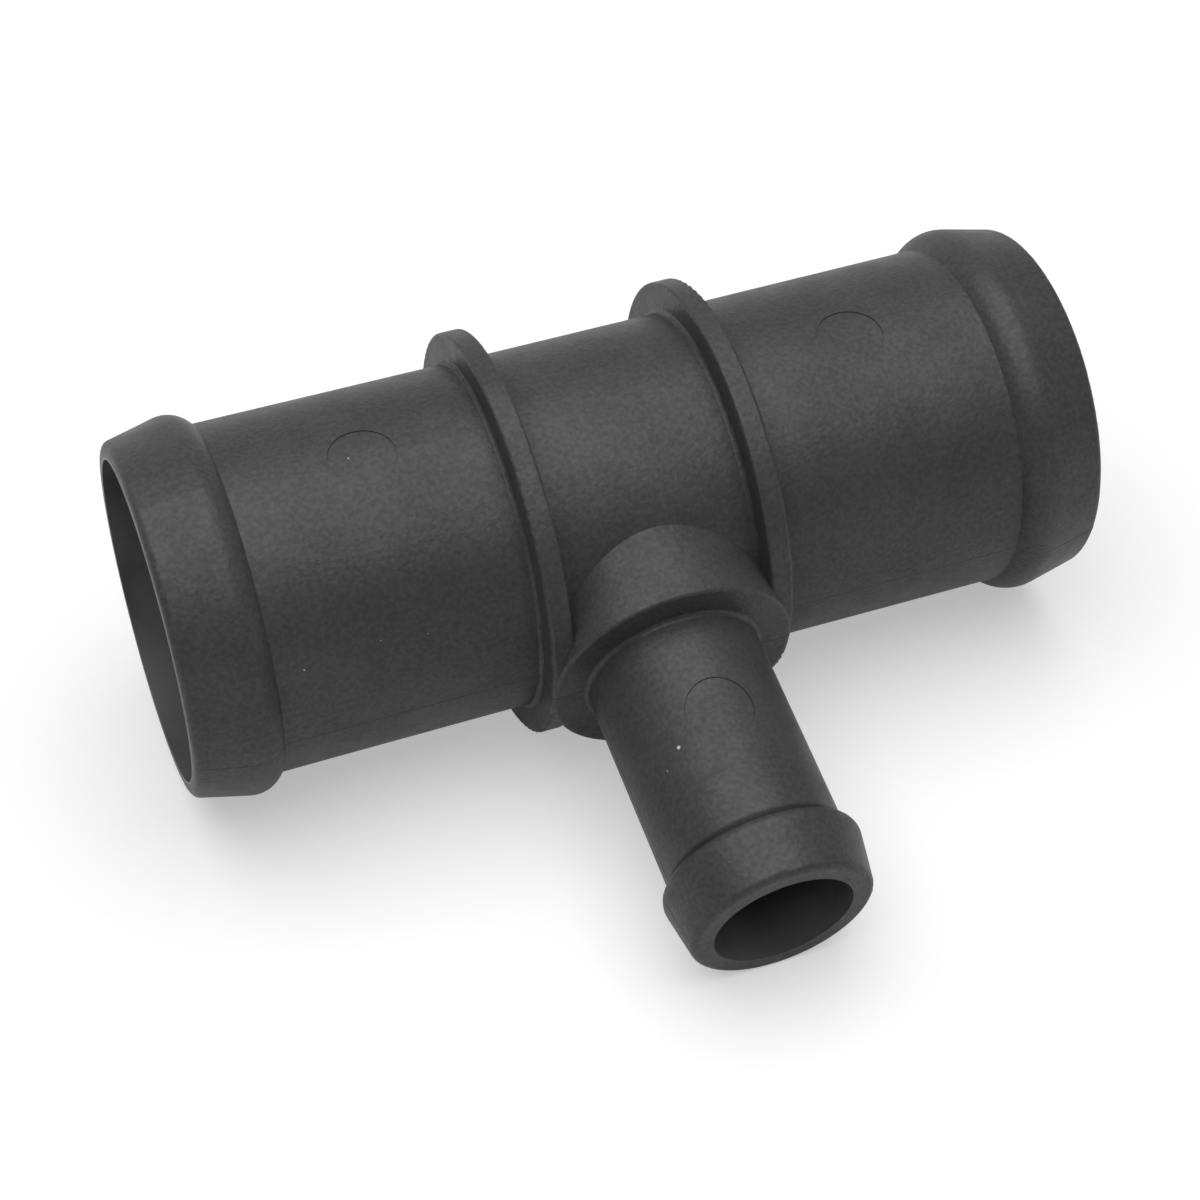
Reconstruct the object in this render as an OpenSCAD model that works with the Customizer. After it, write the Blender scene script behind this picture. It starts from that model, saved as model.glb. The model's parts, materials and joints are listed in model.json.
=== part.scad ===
// Reducing hose tee, moulded in one piece: two run spigots, one smaller branch spigot.
// The run lies along X and the branch leaves it towards -Y, sloping down, because a loose
// tee rests on its two flanges and the tip of its branch. The origin is where the two
// axes cross. All sizes are in millimetres.

/* [Run spigots] */
// Outer diameter of a run spigot, the hose size that it takes
run_od = 38; // [30:0.5:60]
// Wall thickness of the run
run_wall = 1.5; // [1:0.1:3]
// How much a run spigot's radius shrinks from its bead back to its flange
run_waist = 0.1; // [0:0.05:0.3]
// Length of a run spigot, from the flange's outer face to the tip
run_spigot = 37.5; // [25:0.5:60]

/* [Run beads] */
// Height of the bead's crest above the spigot
run_bead_h = 1.6; // [1:0.1:2.5]
// Radius of the bead's crest
run_crest_r = 3.5; // [2.6:0.1:5]
// Distance from the tip back to the crest
run_crest_back = 6.6; // [5:0.1:10]
// Height of the tip above the spigot
run_tip_h = 0.4; // [0:0.1:0.9]
// Rounding round the outside of the tip
run_tip_r = 1; // [0.3:0.1:1.3]

/* [Flanges] */
// Gap between the two flanges
flange_gap = 21.8; // [20:0.2:40]
// Thickness of a flange
flange_t = 2.5; // [1.5:0.1:5]
// Height of a flange above the run spigots
flange_h = 3.2; // [2.8:0.1:6]
// Rounding of a flange's edges
flange_edge_r = 0.35; // [0.1:0.05:0.7]

/* [Body] */
// Step in radius from a run spigot down to the body between the flanges
body_step = 0.15; // [0:0.05:0.5]
// Rounding of the boss's outer edge
boss_edge_r = 0.4; // [0.1:0.05:0.8]
// Fillet in the corners where the body and the spigots meet the flanges and the boss
root_fillet_r = 0.5; // [0.2:0.05:0.8]

/* [Branch spigot] */
// Outer diameter of the branch spigot, the hose size that it takes
branch_od = 19; // [12:0.5:22]
// Wall thickness of the branch
branch_wall = 2; // [1:0.1:3]
// Length of the branch spigot, from the boss's face to the tip
branch_spigot = 31.5; // [24:0.5:50]

/* [Branch bead] */
// Height of the bead's crest above the branch
branch_bead_h = 1.2; // [0.8:0.1:2]
// Radius of the bead's crest
branch_crest_r = 1.4; // [1.1:0.1:3]
// Distance from the tip back to the crest
branch_crest_back = 5.7; // [4.5:0.1:8]
// Height of the tip above the branch
branch_tip_h = 0.4; // [0:0.1:0.7]
// Rounding round the outside of the tip
branch_tip_r = 0.8; // [0.3:0.1:1]

/* [Ejector marks] */
// Diameter of the round marks that the ejector pins left
mark_d = 7.1; // [4:0.1:9]
// Depth of the marks
mark_depth = 0.1; // [0.05:0.05:0.4]
// Distance of a run mark's centre from the flange's outer face
run_mark_at = 13.6; // [8:0.2:20]
// How far a run mark's centre lies behind the run's axis
run_mark_aside = 0.4; // [-2:0.1:2]
// Distance of the branch mark's centre from the boss's face
branch_mark_at = 11.3; // [6:0.1:16]

/* [Hidden] */
$fn = 96;

// How far a cutting shape runs past the surface that it cuts
overcut = 1;

// Radii that follow from the sizes above
run_r = run_od / 2;
run_waist_r = run_r - run_waist;
run_bore_r = run_r - run_wall;
body_r = run_r - body_step;
flange_r = run_r + flange_h;
branch_r = branch_od / 2;
branch_bore_r = branch_r - branch_wall;

// Reaches along the run, from the branch's axis
flange_inner = flange_gap / 2;
flange_outer = flange_inner + flange_t;
flange_middle = (flange_inner + flange_outer) / 2;
run_reach = flange_outer + run_spigot;

// The boss is as wide as the pair of flanges, and ends flush with their rims
boss_r = flange_outer;
boss_reach = flange_r;
branch_reach = boss_reach + branch_spigot;

// Centres of a spigot's crest and tip roundings, each as [radius, reach]
function crest_centre(spigot_r, bead_h, crest_r, reach, crest_back) =
    [spigot_r + bead_h - crest_r, reach - crest_back];
function tip_centre(spigot_r, tip_h, tip_r, reach) =
    [spigot_r + tip_h - tip_r, reach - tip_r];

// The point where a rounding meets a line whose outward normal lies at this angle
function touch(centre, radius, angle) = centre + radius * [cos(angle), sin(angle)];

// Angle of the outward normal of the lead-in, the line that touches both roundings
function lead_in_angle(from, from_r, to, to_r) =
    atan2(to[1] - from[1], to[0] - from[0]) - acos((from_r - to_r) / norm(to - from));

// Tilt about X at which one of the branch's roundings comes down level with the flanges
function contact_tilt(centre, radius) =
    asin((flange_r - radius) / norm(centre)) - atan2(centre[0], centre[1]);

run_crest = crest_centre(run_r, run_bead_h, run_crest_r, run_reach, run_crest_back);
run_tip = tip_centre(run_r, run_tip_h, run_tip_r, run_reach);
branch_crest = crest_centre(branch_r, branch_bead_h, branch_crest_r, branch_reach, branch_crest_back);
branch_tip = tip_centre(branch_r, branch_tip_h, branch_tip_r, branch_reach);
rest_tilt = min(contact_tilt(branch_crest, branch_crest_r), contact_tilt(branch_tip, branch_tip_r));

// Half outline of a spigot, as radius by reach: a tube that widens from its waist, a bead with
// a round crest whose back runs into the tube, and a lead-in that narrows to the rounded tip
module spigot_outline(waist_r, spigot_r, from, reach, crest, crest_r, tip, tip_r) {
    normal = lead_in_angle(crest, crest_r, tip, tip_r);
    polygon([[0, from], [waist_r, from], [spigot_r, crest[1]], [0, crest[1]]]);
    translate(crest) circle(r = crest_r);
    translate(tip) circle(r = tip_r);
    polygon([
        [0, crest[1]],
        crest,
        touch(crest, crest_r, normal),
        touch(tip, tip_r, normal),
        tip,
        [tip[0], reach],
        [0, reach]
    ]);
}

// Half outline of a disc with both of its edges rounded
module disc_outline(radius, from, to, edge_r) {
    square_r = radius - edge_r;
    translate([0, from]) square([square_r, to - from]);
    translate([0, from + edge_r]) square([radius, to - from - 2 * edge_r]);
    for (y = [from + edge_r, to - edge_r]) translate([square_r, y]) circle(r = edge_r);
}

// Half outline of the fillet between a tube and a wall, on the wall's far side (1) or near side (-1)
module root_outline(tube_r, wall, side) {
    difference() {
        translate([0, wall - root_fillet_r]) square([tube_r + root_fillet_r, 2 * root_fillet_r]);
        translate([tube_r + root_fillet_r, wall + side * root_fillet_r]) circle(r = root_fillet_r);
    }
}

// One half of the run, from the branch's axis out to a tip, turned about Z
module half_run() {
    rotate_extrude() {
        square([body_r, flange_middle]);
        root_outline(body_r, flange_inner, -1);
        disc_outline(flange_r, flange_inner, flange_outer, flange_edge_r);
        root_outline(run_waist_r, flange_outer, 1);
        spigot_outline(run_waist_r, run_r, flange_middle, run_reach, run_crest, run_crest_r,
            run_tip, run_tip_r);
    }
}

// The boss and the branch spigot, turned about Z
module branch_half() {
    rotate_extrude() {
        disc_outline(boss_r, 0, boss_reach, boss_edge_r);
        root_outline(branch_r, boss_reach, 1);
        spigot_outline(branch_r, branch_r, 0, branch_reach, branch_crest, branch_crest_r,
            branch_tip, branch_tip_r);
    }
}

module outside() {
    for (side = [-1, 1]) rotate([0, side * 90, 0]) half_run();
    rotate([90, 0, 0]) branch_half();
}

module bores() {
    through = run_reach + overcut;
    translate([-through, 0, 0]) rotate([0, 90, 0]) cylinder(r = run_bore_r, h = 2 * through);
    rotate([90, 0, 0]) cylinder(r = branch_bore_r, h = branch_reach + overcut);
}

// What an ejector pin from +Z takes off a tube about Z that is turned to lie along its axis
module ejector_mark(tube_r, turn, aside = 0) {
    intersection() {
        translate([0, aside, 0]) cylinder(d = mark_d, h = tube_r + overcut);
        rotate(turn) difference() {
            cylinder(r = tube_r + overcut, h = 2 * mark_d, center = true);
            cylinder(r = tube_r - mark_depth, h = 3 * mark_d, center = true);
        }
    }
}

module ejector_marks() {
    run_at = flange_outer + run_mark_at;
    tube_r = run_r - run_waist * (run_crest[1] - run_at) / (run_crest[1] - flange_middle);
    for (side = [-1, 1]) {
        translate([side * run_at, 0, 0]) ejector_mark(tube_r, [0, 90, 0], run_mark_aside);
    }
    translate([0, -boss_reach - branch_mark_at, 0]) ejector_mark(branch_r, [90, 0, 0]);
}

module hose_tee() {
    color("#3a3a3b") rotate([rest_tilt, 0, 0]) difference() {
        outside();
        bores();
        ejector_marks();
    }
}

hose_tee();
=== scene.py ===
import json
import math

import bmesh
import bpy
from mathutils import Euler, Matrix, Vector


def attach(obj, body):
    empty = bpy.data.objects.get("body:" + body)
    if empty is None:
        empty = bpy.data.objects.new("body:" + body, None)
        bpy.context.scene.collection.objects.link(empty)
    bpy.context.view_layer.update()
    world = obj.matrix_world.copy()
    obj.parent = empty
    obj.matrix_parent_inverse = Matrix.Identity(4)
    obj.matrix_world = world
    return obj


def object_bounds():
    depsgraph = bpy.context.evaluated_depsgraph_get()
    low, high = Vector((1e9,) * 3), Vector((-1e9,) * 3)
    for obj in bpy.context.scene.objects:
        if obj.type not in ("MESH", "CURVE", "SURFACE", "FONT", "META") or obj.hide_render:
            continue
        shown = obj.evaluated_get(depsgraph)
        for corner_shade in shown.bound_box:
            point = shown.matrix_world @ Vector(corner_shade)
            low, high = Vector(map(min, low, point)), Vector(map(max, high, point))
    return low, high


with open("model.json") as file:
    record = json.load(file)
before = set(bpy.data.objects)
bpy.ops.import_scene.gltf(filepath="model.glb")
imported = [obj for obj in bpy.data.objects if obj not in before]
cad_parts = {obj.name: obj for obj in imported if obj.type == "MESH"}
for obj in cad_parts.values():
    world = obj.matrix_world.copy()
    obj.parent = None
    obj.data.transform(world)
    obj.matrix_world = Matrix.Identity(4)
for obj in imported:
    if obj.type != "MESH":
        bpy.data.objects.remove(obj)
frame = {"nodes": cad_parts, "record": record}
cad_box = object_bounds()

# A hose tee of charcoal plastic on a white floor, in metres. The solids are the frame's: added here
# are their material, the flash along the parting line, the lamps, the floor and the camera.

MM = 0.001
WHITE = (1, 1, 1, 1)

# The moulding's axes, bores and tubes, as the record gives them
MOUNTS = {mount["name"]: mount for mount in frame["record"]["mounts"]}
RUN_AXIS = Vector(MOUNTS["run_bore"]["axis"])
BRANCH_AXIS = Vector(MOUNTS["branch_bore"]["axis"])
RUN_BORE_R = MOUNTS["run_bore"]["dims"]["r_mm"] * MM
BRANCH_BORE_R = MOUNTS["branch_bore"]["dims"]["r_mm"] * MM
RUN_REACH = MOUNTS["run_bore"]["dims"]["length_mm"] / 2 * MM
RUN_R = MOUNTS["left_run_spigot"]["dims"]["r_mm"] * MM
BRANCH_R = MOUNTS["branch_spigot"]["dims"]["r_mm"] * MM
# The mould opened along the normal of the plane that holds both axes
PARTING_NORMAL = BRANCH_AXIS.cross(RUN_AXIS)

# Charcoal plastic, and how its shade, gloss and roughness run from one end of a noise to the other
CHARCOAL = frame["record"]["materials"][0]["base_color"]
SKIN_SHADES = (0.93, 1.29)
SKIN_GLOSS = (0.24, 0.42)
SKIN_ROUGHNESS = (0.38, 0.45)
# Noises as features per metre and detail: broad dull and bright patches, the fine mottling between
# them, the grain that the spark-eroded mould leaves on the outside, and slow waves in the skin
PATCHES = (110, 4)
MOTTLING = (1900, 3)
GRAIN = (2200, 2)
WAVES = (320, 3)
# The part of a noise's values that is spread over the whole of a range
NOISE_SPAN = (0.3, 0.7)
# How much of the skin's tone is the mottling, and how high the grain and the waves stand
MOTTLING_SHARE = 0.65
GRAIN_DEPTH = 0.05 * MM
WAVE_DEPTH = 0.02 * MM

# The polished core pins leave the bores smoother; their paler colour is painted light, for the
# light that reaches into the mouths
BORE_PAINTED_LIGHT_SHADES = (1.5, 2.4)
BORE_GLOSS = 0.5
BORE_ROUGHNESS = 0.27
# How far past their walls this finish and its painted light reach onto the tips of the run and of
# the branch; on the run's tip it paints a pale highlight line
RUN_EDGE = 0.15 * MM
BRANCH_EDGE = 0.03 * MM

# The parting line and the rims of the ejector marks are duller than the skin beside them, and drawn
# darker there as painted shade
SEAM_PAINTED_SHADE = 0.88
SEAM_GLOSS = 0.27
# Centres of the marks, as millimetres along the run and the branch, their radius and a rim's reach
MARKS = [(-27, -0.4), (27, -0.4), (0, 33.5)]
MARK_R = 3.55 * MM
MARK_RIM = 0.1 * MM
# Painted shade in the corner behind the branch's bead: how far along the branch the corner lies,
# how far from it the painted shade is full and how far it reaches, and its shade and gloss
CORNER_AT = 46.6 * MM
CORNER_REACH = (0.25 * MM, 0.8 * MM)
CORNER_PAINTED_SHADE = 0.5
CORNER_PAINTED_SHADE_GLOSS = 0.14

# Pale specks of dust on the run, in its left mark and on the branch, as millimetres along the run
# and the branch, and radius in millimetres
RUN_SPECKS = [(-30.2, 16.1, 0.12), (-25.3, 16.4, 0.12), (-38.4, 16.6, 0.12)]
MARK_SPECKS = [(-28.4, -0.6, 0.11)]
BRANCH_SPECKS = [(-5.25, 35.9, 0.26), (-6.9, 37.4, 0.09)]
# How far the floor of the left mark lies below the run's own radius
MARK_SUNK = 0.15 * MM
# The share of a speck's radius that has its full colour
SPECK_CORE = 0.4
SPECK_COLOUR = (0.6, 0.6, 0.6, 1)

# Flash along the parting line: its width at the skin and at its crest, its height over the skin,
# how deep it is sunk, and how far short of the bores' mouths it ends
FLASH_WIDTH = 0.16 * MM
FLASH_CREST = 0.05 * MM
FLASH_HEIGHT = 0.025 * MM
FLASH_ROOT = 0.04 * MM
FLASH_CLEAR = 0.15 * MM
# Points of the cut mesh that are closer than this are one
WELD = 0.002 * MM

# The photograph's camera, as fitted to the outline of the tee
CAMERA_PLACE = Vector((-79.1863, -229.0834, 210.5974)) * MM
CAMERA_TURN = Euler([math.radians(a) for a in (47.1451, 1.2388, -20.1099)])
CAMERA_LENS = 88.2468
CAMERA_SENSOR = 36
CAMERA_CLIP = (0.01, 10)

# The floor: its place, reach, colour and roughness
FLOOR_Z = cad_box[0].z
FLOOR_HALF = 1.5
FLOOR_SHADE = 0.66
FLOOR_ROUGHNESS = 0.9
# The glow that makes the floor show as white, which rises to 1 between these distances from the
# tee, where the lamps' light fades, and how much of it reflections see
FLOOR_GLOW = 0.43
GLOW_RISES = (0.2, 0.8)
FLOOR_REFLECTED = 0.4
# How strongly the white surround lights the tee
WORLD_LIGHT = 0.02
# Lamps as name, centre, the point they face, size along and across, and power in watts
LAMPS = [
    ("overhead", (0, 0, 0.75), (0, 0, 0), 2.0, 2.0, 4.0),
    ("key", (-0.1, -0.1, 0.74), (-0.1, -0.1, 0), 1.0, 1.0, 5.9),
    ("fore", (0, -0.75, 0.75), (0, -0.75, 0), 1.0, 0.5, 1.1),
    ("rear", (0, 1.0, 0.3), (0, 0, 0.3), 2.0, 0.6, 1.9),
    ("left", (-1.0, 0.5, 0.3), (0, 0.5, 0.3), 1.0, 0.6, 0.6),
    ("right", (1.0, 0, 0.3), (0, 0, 0.3), 2.0, 0.6, 0.9),
]


def add(tree, kind, inputs, **settings):
    """A new node with its settings made, and its inputs set or linked to other nodes' outputs."""
    node = tree.nodes.new(kind)
    for name, value in settings.items():
        setattr(node, name, value)
    for key, value in inputs.items():
        if isinstance(value, bpy.types.NodeSocket):
            tree.links.new(value, node.inputs[key])
        else:
            node.inputs[key].default_value = value
    return node


def math_of(tree, operation, *values):
    return add(tree, "ShaderNodeMath", dict(enumerate(values)), operation=operation).outputs[0]


def vector_of(tree, operation, *values):
    inputs = dict(enumerate(values))
    outputs = add(tree, "ShaderNodeVectorMath", inputs, operation=operation).outputs
    return outputs["Value" if operation in ("LENGTH", "DOT_PRODUCT") else "Vector"]


def noise(tree, place, features):
    """A noise at a place, given as features per metre and detail."""
    per_m, detail = features
    inputs = {"Vector": place, "Scale": per_m, "Detail": detail}
    return add(tree, "ShaderNodeTexNoise", inputs).outputs["Fac"]


def map_range(tree, value, low, high, to_low, to_high):
    """The value carried from one range to another, easing in and out at the ends."""
    inputs = {
        "Value": value, "From Min": low, "From Max": high, "To Min": to_low, "To Max": to_high
    }
    settings = {"interpolation_type": "SMOOTHSTEP"}
    return add(tree, "ShaderNodeMapRange", inputs, **settings).outputs["Result"]


def mix(tree, factor, first, second):
    """A mix of two numbers. Sockets go by number, as each data type has its own two to mix."""
    return add(tree, "ShaderNodeMix", {0: factor, 2: first, 3: second}).outputs[0]


def mix_colour(tree, factor, first, second):
    inputs = {0: factor, 6: first, 7: second}
    return add(tree, "ShaderNodeMix", inputs, data_type="RGBA").outputs[2]


def new_material(name):
    material = bpy.data.materials.new(name)
    material.use_nodes = True
    return material, material.node_tree, material.node_tree.nodes["Principled BSDF"]


def inside_bore(tree, place):
    """1 on the walls of the two bores and 0 elsewhere."""
    across_run = vector_of(tree, "LENGTH", vector_of(tree, "CROSS_PRODUCT", place, RUN_AXIS))
    in_run = math_of(tree, "LESS_THAN", across_run, RUN_BORE_R + RUN_EDGE)
    across_branch = vector_of(tree, "LENGTH", vector_of(tree, "CROSS_PRODUCT", place, BRANCH_AXIS))
    near_branch = math_of(tree, "LESS_THAN", across_branch, BRANCH_BORE_R + BRANCH_EDGE)
    along_branch = vector_of(tree, "DOT_PRODUCT", place, BRANCH_AXIS)
    past_run = math_of(tree, "GREATER_THAN", along_branch, RUN_BORE_R)
    return math_of(tree, "MAXIMUM", in_run, math_of(tree, "MULTIPLY", near_branch, past_run))


def seams(tree, place):
    """Where shade is painted: 1 along the parting line and round the ejector marks, falling to 0
    beside them.
    """
    height = vector_of(tree, "DOT_PRODUCT", place, PARTING_NORMAL)
    upper = math_of(tree, "GREATER_THAN", height, 0)
    seam = map_range(tree, math_of(tree, "ABSOLUTE", height), 0, FLASH_WIDTH, 1, 0)
    for along_run, along_branch in MARKS:
        centre = (RUN_AXIS * along_run + BRANCH_AXIS * along_branch) * MM
        from_centre = vector_of(tree, "SUBTRACT", place, centre)
        across = vector_of(tree, "CROSS_PRODUCT", from_centre, PARTING_NORMAL)
        off_rim = math_of(tree, "SUBTRACT", vector_of(tree, "LENGTH", across), MARK_R)
        rim = map_range(tree, math_of(tree, "ABSOLUTE", off_rim), 0, MARK_RIM, 1, 0)
        seam = math_of(tree, "MAXIMUM", seam, math_of(tree, "MULTIPLY", upper, rim))
    return seam


def painted_corner_shade(tree, place):
    """Where shade is painted: 1 in the corner behind the branch's bead, falling to 0 beside it."""
    along_branch = vector_of(tree, "DOT_PRODUCT", place, BRANCH_AXIS)
    off_corner = math_of(tree, "SUBTRACT", along_branch, CORNER_AT)
    return map_range(tree, math_of(tree, "ABSOLUTE", off_corner), *CORNER_REACH, 1, 0)


def specks():
    """Centre and radius of each speck, at the height over the parting plane where the skin is."""
    skins = [(RUN_SPECKS, RUN_R), (MARK_SPECKS, RUN_R - MARK_SUNK), (BRANCH_SPECKS, BRANCH_R)]
    for rows, skin_r in skins:
        for along_run, along_branch, radius in rows:
            aside = along_run if rows is BRANCH_SPECKS else along_branch
            height = math.sqrt(skin_r ** 2 - (aside * MM) ** 2)
            flat = (RUN_AXIS * along_run + BRANCH_AXIS * along_branch) * MM
            yield flat + PARTING_NORMAL * height, radius * MM


def with_specks(tree, place, colour):
    """The colour with the pale specks over it."""
    for centre, radius in specks():
        away = vector_of(tree, "LENGTH", vector_of(tree, "SUBTRACT", place, centre))
        speck = map_range(tree, away, radius * SPECK_CORE, radius, 1, 0)
        colour = mix_colour(tree, speck, colour, SPECK_COLOUR)
    return colour


def shade_of(shade):
    """The charcoal, so many times as bright."""
    return [*[c * shade for c in CHARCOAL], 1]


def moulding_material():
    """Mottled charcoal plastic: a grained skin, smooth bores drawn paler as painted light, seams
    and the corner behind the branch's bead drawn darker as painted shade, and a few specks.
    """
    material, tree, shader = new_material("charcoal_moulding")
    place = add(tree, "ShaderNodeTexCoord", {}).outputs["Object"]
    bore = inside_bore(tree, place)
    outside = math_of(tree, "SUBTRACT", 1, bore)
    seam = seams(tree, place)
    corner_shade = painted_corner_shade(tree, place)

    patches = map_range(tree, noise(tree, place, PATCHES), *NOISE_SPAN, 0, 1)
    mottling = map_range(tree, noise(tree, place, MOTTLING), *NOISE_SPAN, 0, 1)
    tone = mix(tree, MOTTLING_SHARE, patches, mottling)
    skin_colour = mix_colour(tree, tone, *[shade_of(shade) for shade in SKIN_SHADES])
    # Painted shade: the parting line and the rims of the marks are drawn darker, for the shading of
    # the flash ridge and of the marks' steps
    seam_colour = mix_colour(tree, seam, skin_colour, shade_of(SEAM_PAINTED_SHADE))
    # Painted shade: the corner behind the branch's bead is drawn darker and duller, as the shade
    # that falls there
    outside_colour = mix_colour(tree, corner_shade, seam_colour, shade_of(CORNER_PAINTED_SHADE))
    # Painted light: the bores' walls are drawn paler, in broad lighter and darker patches, for the
    # light reaching into the mouths
    bore_painted_light_colour = mix_colour(tree, patches, *[shade_of(shade) for shade in BORE_PAINTED_LIGHT_SHADES])
    colour = with_specks(tree, place, mix_colour(tree, bore, outside_colour, bore_painted_light_colour))
    tree.links.new(colour, shader.inputs["Base Color"])

    seam_gloss = mix(tree, seam, mix(tree, tone, *SKIN_GLOSS), SEAM_GLOSS)
    outside_gloss = mix(tree, corner_shade, seam_gloss, CORNER_PAINTED_SHADE_GLOSS)
    gloss = mix(tree, bore, outside_gloss, BORE_GLOSS)
    tree.links.new(gloss, shader.inputs["Specular IOR Level"])

    pits = {"Strength": outside, "Distance": GRAIN_DEPTH, "Height": noise(tree, place, GRAIN)}
    grained = add(tree, "ShaderNodeBump", pits).outputs["Normal"]
    waves = noise(tree, place, WAVES)
    swell = {"Distance": WAVE_DEPTH, "Height": waves, "Normal": grained}
    tree.links.new(add(tree, "ShaderNodeBump", swell).outputs["Normal"], shader.inputs["Normal"])

    skin_roughness = map_range(tree, waves, *NOISE_SPAN, *SKIN_ROUGHNESS)
    roughness = mix(tree, bore, skin_roughness, BORE_ROUGHNESS)
    tree.links.new(roughness, shader.inputs["Roughness"])
    return material


def floor_material():
    """A floor that shows as white to the camera, with the object's shadow kept."""
    material, tree, shader = new_material("floor")
    shader.inputs["Base Color"].default_value = (FLOOR_SHADE, FLOOR_SHADE, FLOOR_SHADE, 1)
    shader.inputs["Roughness"].default_value = FLOOR_ROUGHNESS
    shader.inputs["Emission Color"].default_value = WHITE
    rays = add(tree, "ShaderNodeLightPath", {}).outputs
    bounced = math_of(tree, "MAXIMUM", rays["Is Glossy Ray"], rays["Is Transmission Ray"])
    reflected = math_of(tree, "MULTIPLY", bounced, FLOOR_REFLECTED)
    seen = math_of(tree, "MAXIMUM", rays["Is Camera Ray"], reflected)
    place = add(tree, "ShaderNodeTexCoord", {}).outputs["Object"]
    glow = map_range(tree, vector_of(tree, "LENGTH", place), *GLOW_RISES, FLOOR_GLOW, 1)
    tree.links.new(math_of(tree, "MULTIPLY", seen, glow), shader.inputs["Emission Strength"])
    return material


def link(name, data):
    thing = bpy.data.objects.new(name, data)
    bpy.context.scene.collection.objects.link(thing)
    return thing


def make_floor():
    mesh = bpy.data.meshes.new("floor")
    signs = [(-1, -1), (1, -1), (1, 1), (-1, 1)]
    corners = [(x * FLOOR_HALF, y * FLOOR_HALF, FLOOR_Z) for x, y in signs]
    mesh.from_pydata(corners, [], [(0, 1, 2, 3)])
    mesh.materials.append(floor_material())
    link("floor", mesh)


def make_camera():
    data = bpy.data.cameras.new("camera")
    data.sensor_width = CAMERA_SENSOR
    data.lens = CAMERA_LENS
    data.clip_start, data.clip_end = CAMERA_CLIP
    camera = link("camera", data)
    camera.location = CAMERA_PLACE
    camera.rotation_euler = CAMERA_TURN
    bpy.context.scene.camera = camera


def make_lamps():
    """Soft lamps that the camera itself doesn't see."""
    for name, centre, target, along, across, watts in LAMPS:
        data = bpy.data.lights.new(name, "AREA")
        data.shape = "RECTANGLE"
        data.size = along
        data.size_y = across
        data.energy = watts
        lamp = link(name, data)
        lamp.location = centre
        facing = Vector(target) - Vector(centre)
        lamp.rotation_euler = facing.to_track_quat("-Z", "Y").to_euler()
        lamp.visible_camera = False


def make_world():
    """A white surround that gives the tee itself only a little light."""
    world = bpy.data.worlds.new("studio")
    world.use_nodes = True
    tree = world.node_tree
    seen = add(tree, "ShaderNodeLightPath", {}).outputs["Is Camera Ray"]
    background = tree.nodes["Background"]
    background.inputs["Color"].default_value = WHITE
    tree.links.new(math_of(tree, "MAXIMUM", seen, WORLD_LIGHT), background.inputs["Strength"])
    bpy.context.scene.world = world


def on_outside(point):
    """Whether a point of the parting plane is outside both bores, short of the run's end faces."""
    along_run, along_branch = point.dot(RUN_AXIS), point.dot(BRANCH_AXIS)
    in_run = abs(along_branch) < RUN_BORE_R + FLASH_CLEAR
    in_branch = along_branch > 0 and abs(along_run) < BRANCH_BORE_R + FLASH_CLEAR
    return not in_run and not in_branch and abs(along_run) < RUN_REACH - FLASH_CLEAR / 2


def walk(start, ways):
    """The points of one open chain, from an end along the ways from point to point."""
    chain, last = [start], None
    while onward := [v for v in ways[chain[-1]] if v is not last]:
        last = chain[-1]
        chain.append(onward[0])
    return chain


def parting_ways(mesh):
    """The neighbours of each point where the parting plane cuts the outside."""
    everything = mesh.verts[:] + mesh.edges[:] + mesh.faces[:]
    cut = bmesh.ops.bisect_plane(
        mesh, geom=everything, dist=WELD, plane_co=(0, 0, 0), plane_no=PARTING_NORMAL
    )
    ways = {}
    for edge in cut["geom_cut"]:
        if isinstance(edge, bmesh.types.BMEdge) and all(on_outside(v.co) for v in edge.verts):
            for here, there in (edge.verts, reversed(edge.verts)):
                ways.setdefault(here, []).append(there)
    return ways


def parting_chains(thing):
    """Points and outward directions along the parting line, chain by chain."""
    mesh = bmesh.new()
    mesh.from_mesh(thing.data)
    bmesh.ops.remove_doubles(mesh, verts=mesh.verts, dist=WELD)
    ways = parting_ways(mesh)
    mesh.normal_update()
    chains, seen = [], set()
    for vert, onward in ways.items():
        if len(onward) == 1 and vert not in seen:
            chain = walk(vert, ways)
            seen.update(chain)
            chains.append([(v.co.copy(), v.normal.copy()) for v in chain])
    mesh.free()
    return chains


def make_flash(chain, name, material):
    """A low closed ridge along a chain of points."""
    # The ridge's section, as distance to the side and outwards
    section = [
        (-FLASH_WIDTH / 2, -FLASH_ROOT), (FLASH_WIDTH / 2, -FLASH_ROOT), (FLASH_WIDTH / 2, 0),
        (FLASH_CREST / 2, FLASH_HEIGHT), (-FLASH_CREST / 2, FLASH_HEIGHT), (-FLASH_WIDTH / 2, 0)
    ]
    points, faces = [], []
    for place, normal in chain:
        outward = (normal - normal.dot(PARTING_NORMAL) * PARTING_NORMAL).normalized()
        points += [place + PARTING_NORMAL * side + outward * out for side, out in section]
    count = len(section)
    for ring in range(0, len(points) - count, count):
        for i in range(count):
            j = (i + 1) % count
            faces.append((ring + i, ring + j, ring + count + j, ring + count + i))
    faces += [tuple(range(count))[::-1], tuple(range(len(points) - count, len(points)))]
    mesh = bpy.data.meshes.new(name)
    mesh.from_pydata(points, [], faces)
    mesh.materials.append(material)
    made = bmesh.new()
    made.from_mesh(mesh)
    bmesh.ops.recalc_face_normals(made, faces=made.faces)
    made.to_mesh(mesh)
    made.free()
    flash = link(name, mesh)
    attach(flash, "root")


make_camera()
make_lamps()
make_world()
make_floor()

tee = frame["nodes"]["hose_tee"]
plastic = moulding_material()
tee.data.materials.clear()
tee.data.materials.append(plastic)
for number, chain in enumerate(parting_chains(tee)):
    make_flash(chain, f"parting_line_{number}", plastic)

bpy.context.scene.view_settings.view_transform = "Standard"
